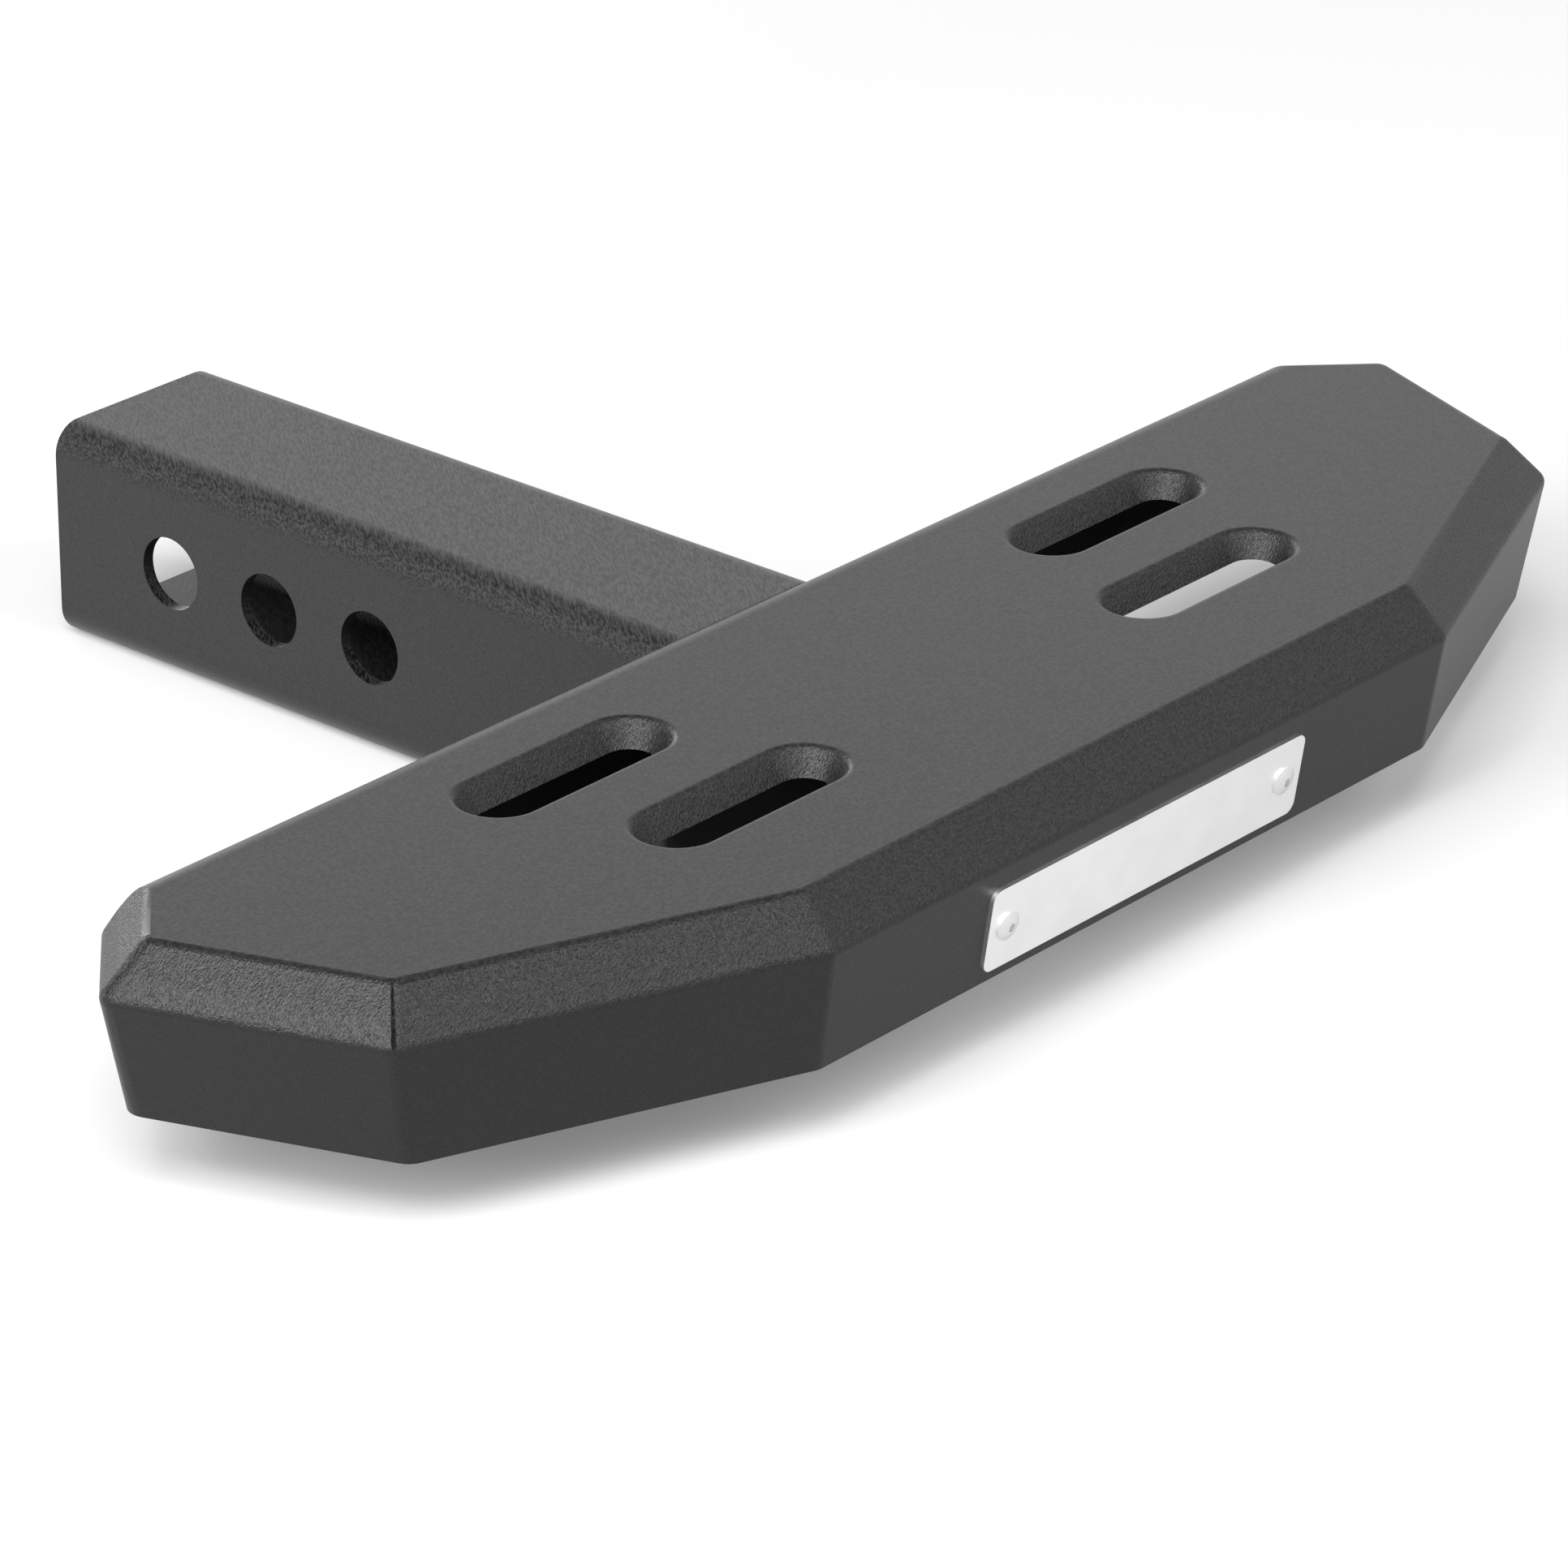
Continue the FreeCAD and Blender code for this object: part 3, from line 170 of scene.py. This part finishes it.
def along(tree, axis, vector):
    """One axis of a place or a direction."""
    node = tree.nodes.new("ShaderNodeSeparateXYZ")
    tree.links.new(vector, node.inputs["Vector"])
    return node.outputs[axis]


def combine(tree, operation, first, second):
    """Two values put together by a mathematical operation, such as MULTIPLY or MAXIMUM."""
    node = tree.nodes.new("ShaderNodeMath")
    node.operation = operation
    tree.links.new(first, node.inputs[0])
    tree.links.new(second, node.inputs[1])
    return node.outputs["Value"]


def map_range(tree, value, low, high, to_low, to_high):
    """A linear change of range, kept within its ends."""
    node = tree.nodes.new("ShaderNodeMapRange")
    node.inputs["From Min"].default_value = low
    node.inputs["From Max"].default_value = high
    node.inputs["To Min"].default_value = to_low
    node.inputs["To Max"].default_value = to_high
    tree.links.new(value, node.inputs["Value"])
    return node.outputs["Result"]


def mix_values(tree, factor, first, second):
    """A mix of two values, each plain or made by other nodes."""
    node = tree.nodes.new("ShaderNodeMix")
    tree.links.new(factor, node.inputs["Factor"])
    feed(tree, first, node.inputs["A"])
    feed(tree, second, node.inputs["B"])
    return node.outputs["Result"]


def mix_colours(tree, factor, first, second):
    """A mix of two colours, each plain or made by other nodes."""
    node = tree.nodes.new("ShaderNodeMix")
    node.data_type = "RGBA"
    ends = {socket.name: socket for socket in node.inputs if socket.type == "RGBA"}
    tree.links.new(factor, node.inputs["Factor"])
    feed(tree, first, ends["A"])
    feed(tree, second, ends["B"])
    return next(socket for socket in node.outputs if socket.type == "RGBA")


def noise(tree, vector, wavelength, detail=1.0, roughness=0.5):
    """A noise texture whose lumps are about one wavelength across, in metres."""
    node = tree.nodes.new("ShaderNodeTexNoise")
    node.inputs["Scale"].default_value = 1.0 / wavelength
    node.inputs["Detail"].default_value = detail
    node.inputs["Roughness"].default_value = roughness
    tree.links.new(vector, node.inputs["Vector"])
    return node.outputs["Fac"]


def long_noise(tree, place, direction, width, stretch):
    """Noise whose lumps lie along a direction, and are this many times as long as wide."""
    turn = tree.nodes.new("ShaderNodeMapping")
    turn.inputs["Rotation"].default_value = direction.rotation_difference(LENGTHWAYS).to_euler()
    tree.links.new(place, turn.inputs["Vector"])
    press = tree.nodes.new("ShaderNodeMapping")
    press.inputs["Scale"].default_value = (1.0 / stretch, 1.0, 1.0)
    tree.links.new(turn.outputs["Vector"], press.inputs["Vector"])
    return noise(tree, press.outputs["Vector"], width, detail=1.5, roughness=0.55)


def centred(tree, value, share):
    """A noise about zero, times a share that varies over the surface."""
    return combine(tree, "MULTIPLY", map_range(tree, value, 0.0, 1.0, -1.0, 1.0), share)


def bump(tree, height, distance, before=None):
    """A bump of a real height, in metres, on top of an earlier one."""
    node = tree.nodes.new("ShaderNodeBump")
    node.inputs["Strength"].default_value = 1.0
    node.inputs["Distance"].default_value = distance
    tree.links.new(height, node.inputs["Height"])
    if before is not None:
        tree.links.new(before, node.inputs["Normal"])
    return node.outputs["Normal"]


def turned_down(tree, height):
    """A height that falls smoothly over the bevel's lowest stretch, and stays low under it."""
    value = map_range(tree, height, FOLD_HEIGHT + TURN_END, FOLD_HEIGHT + TURN_START, -1.0, 0.0)
    value.node.interpolation_type = "SMOOTHSTEP"
    return value


def painted_shade_under_tread(tree):
    """1 on the stretch of the tube that the tread covers, which gets painted shade, 0 on the rest.
    """
    place = coordinate(tree, "Object")
    return map_range(tree, along(tree, "Y", place), REAR_WALL - WALL_FADE, REAR_WALL, 1.0, 0.0)


def painted_shade_inside_tread(tree):
    """1 on the tread's faces that look down, or inwards below the fold, which get painted shade, 0
    on the rest.
    """
    place = coordinate(tree, "Object")
    direction = coordinate(tree, "Normal")
    from_middle = tree.nodes.new("ShaderNodeVectorMath")
    from_middle.operation = "SUBTRACT"
    from_middle.inputs[1].default_value = TREAD_MIDDLE
    tree.links.new(place, from_middle.inputs[0])
    outward = tree.nodes.new("ShaderNodeVectorMath")
    outward.operation = "DOT_PRODUCT"
    tree.links.new(from_middle.outputs["Vector"], outward.inputs[0])
    tree.links.new(direction, outward.inputs[1])

    inward = map_range(tree, outward.outputs["Value"], FULLY_INWARD, 0.0, 1.0, 0.0)
    low = map_range(tree, along(tree, "Z", place), FOLD_HEIGHT - FOLD_FADE, FOLD_HEIGHT, 1.0, 0.0)
    looks_down = map_range(tree, along(tree, "Z", direction), FULLY_DOWN, HARDLY_DOWN, 1.0, 0.0)
    return combine(tree, "MAXIMUM", combine(tree, "MULTIPLY", inward, low), looks_down)


def new_material(name):
    """A material with a Principled shader, and its node tree."""
    material = bpy.data.materials.new(name)
    material.use_nodes = True
    tree = material.node_tree
    shader = tree.nodes["Principled BSDF"]
    return material, tree, shader


def uneven_roughness(tree, value, middle):
    """A roughness that varies a little about its middle, with a noise."""
    lowest = middle - ROUGHNESS_REACH
    highest = middle + ROUGHNESS_REACH
    return map_range(tree, value, *NOISE_SPREAD, lowest, highest)


def coat_material(
    name, colours, grain, stretch, flat_share, wall_share, grain_height, fleck_height,
    has_bevel=False, painted_shade_mask=None,
):
    """Textured black powder coat.

    Fine flecks and the grain give the surface its height, which shrinks to a share on flat tops
    and to another on walls. The grain also shows as paler and darker streaks, fainter on walls.
    Where its height shrinks on flat tops, blotches take the streaks' place. Under a painted shade
    mask the coat is painted with shade: near black, and dull.
    """
    material, tree, shader = new_material(name)
    place = coordinate(tree, "Object")
    upward = along(tree, "Z", coordinate(tree, "Normal"))
    on_top = map_range(tree, upward, *SLOPE_TO_TOP, 1.0, flat_share)
    on_wall = map_range(tree, upward, *WALL_TO_SLOPE, wall_share, 1.0)
    share = combine(tree, "MULTIPLY", on_top, on_wall)

    lumps = long_noise(tree, place, grain, GRAIN_WIDTH, stretch)
    blotches = noise(tree, place, BLOTCH_SIZE)
    patches = centred(tree, mix_values(tree, on_top, blotches, lumps), on_wall)
    streaks = map_range(tree, patches, *STREAK_SPREAD, 0.0, 1.0)
    tone = mix_colours(tree, streaks, *colours)
    if painted_shade_mask is None:
        gloss = noise(tree, place, GLOSS_SIZE, detail=2.0)
        roughness = uneven_roughness(tree, gloss, COAT_ROUGHNESS)
    else:
        # Painted shade: the masked faces get a near-black colour in place of the coat's, and are
        # dull
        painted_shade_share = painted_shade_mask(tree)
        tone = mix_colours(tree, painted_shade_share, tone, PAINTED_SHADE_COLOUR)
        roughness = map_range(tree, painted_shade_share, 0.0, 1.0, COAT_ROUGHNESS, HIDDEN_ROUGHNESS)

    surface = bump(tree, noise(tree, place, PEEL_SIZE), PEEL_HEIGHT)
    if has_bevel:
        turn = turned_down(tree, along(tree, "Z", place))
        surface = bump(tree, turn, TURN_DEPTH, before=surface)
    surface = bump(tree, centred(tree, lumps, share), grain_height, before=surface)
    flecks = noise(tree, place, FLECK_SIZE)
    surface = bump(tree, centred(tree, flecks, share), fleck_height, before=surface)

    tree.links.new(tone, shader.inputs["Base Color"])
    tree.links.new(roughness, shader.inputs["Roughness"])
    tree.links.new(surface, shader.inputs["Normal"])
    shader.inputs["Specular IOR Level"].default_value = COAT_SPECULAR
    return material


def bright_material(name, colour, roughness):
    """Bright satin metal with faint smudges and scuffs."""
    material, tree, shader = new_material(name)
    place = coordinate(tree, "Object")
    smudge = noise(tree, place, SMUDGE_SIZE, detail=3.0)
    darker = tuple(SMUDGE_SHADE * value for value in colour)
    tone = mix_colours(tree, map_range(tree, smudge, *SMUDGE_SPREAD, 0.0, 1.0), darker, colour)
    scuffs = bump(tree, noise(tree, place, SCUFF_SIZE, detail=2.0), SCUFF_HEIGHT)
    tree.links.new(tone, shader.inputs["Base Color"])
    tree.links.new(uneven_roughness(tree, smudge, roughness), shader.inputs["Roughness"])
    tree.links.new(scuffs, shader.inputs["Normal"])
    shader.inputs["Metallic"].default_value = 1.0
    return material


def dress(node, material):
    """Put a material on every slot of a CAD node."""
    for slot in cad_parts[node].material_slots:
        slot.material = material


def add_area_light(name, direction, distance, size, power):
    """A square soft lamp that faces the object from a direction. The camera doesn't see it."""
    data = bpy.data.lights.new(name, "AREA")
    data.shape = "SQUARE"
    data.size = size
    data.energy = power
    light = bpy.data.objects.new(name, data)
    away = Vector(direction).normalized()
    light.location = LIGHT_AIM + away * distance
    light.rotation_euler = away.to_track_quat("Z", "Y").to_euler()
    light.visible_camera = False
    bpy.context.scene.collection.objects.link(light)


def white_ray_factor(tree):
    """1 for camera, glossy and transmission rays, 0 for the rays that carry light to a surface."""
    rays = tree.nodes.new("ShaderNodeLightPath").outputs
    total = rays["Is Camera Ray"]
    for name in ("Is Glossy Ray", "Is Transmission Ray"):
        total = combine(tree, "MAXIMUM", total, rays[name])
    return total


def make_world():
    """A grey fill light that looks white at the horizon and darker overhead.

    Only the camera and reflections see the white and the darker part.
    """
    world = bpy.data.worlds.new("studio")
    bpy.context.scene.world = world
    world.use_nodes = True
    tree = world.node_tree
    background = tree.nodes["Background"]
    height = along(tree, "Z", coordinate(tree, "Generated"))
    seen = map_range(tree, height, OVERHEAD_START, OVERHEAD_FULL, WORLD_HORIZON, WORLD_OVERHEAD)
    strength = mix_values(tree, white_ray_factor(tree), WORLD_FILL, seen)
    feed(tree, WHITE, background.inputs["Color"])
    feed(tree, strength, background.inputs["Strength"])


def floor_material():
    """Pale matt floor, lifted to white for the camera and a little in reflections.

    The camera's lift grows far behind the tread. The lift in reflections starts at the tread's
    front and is full a little behind its rear wall.
    """
    material = bpy.data.materials.new("floor")
    material.use_nodes = True
    tree = material.node_tree
    tree.nodes.clear()
    matt = tree.nodes.new("ShaderNodeBsdfDiffuse")
    feed(tree, FLOOR_COLOUR, matt.inputs["Color"])

    back = along(tree, "Y", coordinate(tree, "Object"))
    glossy_lift = map_range(tree, back, TREAD_FRONT, REAR_WALL + GLOSSY_FULL, 0.0, GLOSSY_LIFT)
    reflected = combine(tree, "MULTIPLY", white_ray_factor(tree), glossy_lift)
    seen = map_range(tree, back, REAR_WALL + FAR_START, REAR_WALL + FAR_FULL, NEAR_LIFT, FAR_LIFT)
    is_camera = tree.nodes.new("ShaderNodeLightPath").outputs["Is Camera Ray"]
    glow = tree.nodes.new("ShaderNodeEmission")
    feed(tree, mix_values(tree, is_camera, reflected, seen), glow.inputs["Strength"])

    both = tree.nodes.new("ShaderNodeAddShader")
    tree.links.new(matt.outputs["BSDF"], both.inputs[0])
    tree.links.new(glow.outputs["Emission"], both.inputs[1])
    output = tree.nodes.new("ShaderNodeOutputMaterial")
    tree.links.new(both.outputs["Shader"], output.inputs["Surface"])
    return material


def make_floor():
    """A plain square floor that the tube lies on."""
    mesh = bpy.data.meshes.new("floor")
    sides = ((-1, -1), (1, -1), (1, 1), (-1, 1))
    corners = [(FLOOR_HALF_WIDTH * x, FLOOR_HALF_WIDTH * y, LOWEST) for x, y in sides]
    mesh.from_pydata(corners, [], [(0, 1, 2, 3)])
    mesh.materials.append(floor_material())
    floor = bpy.data.objects.new("floor", mesh)
    bpy.context.scene.collection.objects.link(floor)


def make_camera():
    """The camera of the photograph."""
    data = bpy.data.cameras.new("camera")
    data.sensor_width = SENSOR_WIDTH
    data.lens = FOCAL_PIXELS / IMAGE_SIZE * SENSOR_WIDTH
    data.shift_x = (IMAGE_SIZE / 2 - IMAGE_CENTRE[0]) / IMAGE_SIZE
    data.shift_y = (IMAGE_CENTRE[1] - IMAGE_SIZE / 2) / IMAGE_SIZE
    camera = bpy.data.objects.new("camera", data)
    heading = Matrix.Rotation(-CAMERA_HEADING, 4, "Z")
    pitch = Matrix.Rotation(math.pi / 2 - CAMERA_PITCH, 4, "X")
    roll = Matrix.Rotation(CAMERA_ROLL, 4, "Z")
    camera.matrix_world = Matrix.Translation(CAMERA_PLACE) @ heading @ pitch @ roll
    bpy.context.scene.collection.objects.link(camera)
    bpy.context.scene.camera = camera


# Materials, and the nodes that wear them
# The tread's coat gets painted shade inside the tread, and the tube's coat on the stretch under it
tread_coat = coat_material(
    "tread_coat", TREAD_COLOURS, TREAD_GRAIN, TREAD_STRETCH,
    flat_share=0.04, wall_share=0.30, grain_height=0.10 * MM, fleck_height=0.08 * MM,
    has_bevel=True, painted_shade_mask=painted_shade_inside_tread,
)
tube_coat = coat_material(
    "tube_coat", TUBE_COLOURS, TUBE_GRAIN, TUBE_STRETCH,
    flat_share=1.0, wall_share=0.25, grain_height=0.03 * MM, fleck_height=0.02 * MM,
    painted_shade_mask=painted_shade_under_tread,
)
weld_coat = coat_material(
    "weld_coat", TREAD_COLOURS, TREAD_GRAIN, TREAD_STRETCH,
    flat_share=1.0, wall_share=1.0, grain_height=0.15 * MM, fleck_height=0.10 * MM,
)
bright_plate = bright_material("bright_plate", PLATE_COLOUR, PLATE_ROUGHNESS)
rivet_metal = bright_material("rivet_metal", RIVET_COLOUR, RIVET_ROUGHNESS)

dress("step_plate", tread_coat)
dress("receiver_tube", tube_coat)
dress("nameplate", bright_plate)
for name in ("rivet_left", "rivet_right"):
    dress(name, rivet_metal)
for name in ("weld_left", "weld_right", "weld_front", "weld_rear_left", "weld_rear_right"):
    dress(name, weld_coat)

# The studio
make_world()
make_floor()
for name, (direction, distance, size, power) in LAMPS.items():
    add_area_light(name, direction, distance, size, power)
make_camera()
bpy.context.scene.view_settings.view_transform = "Standard"
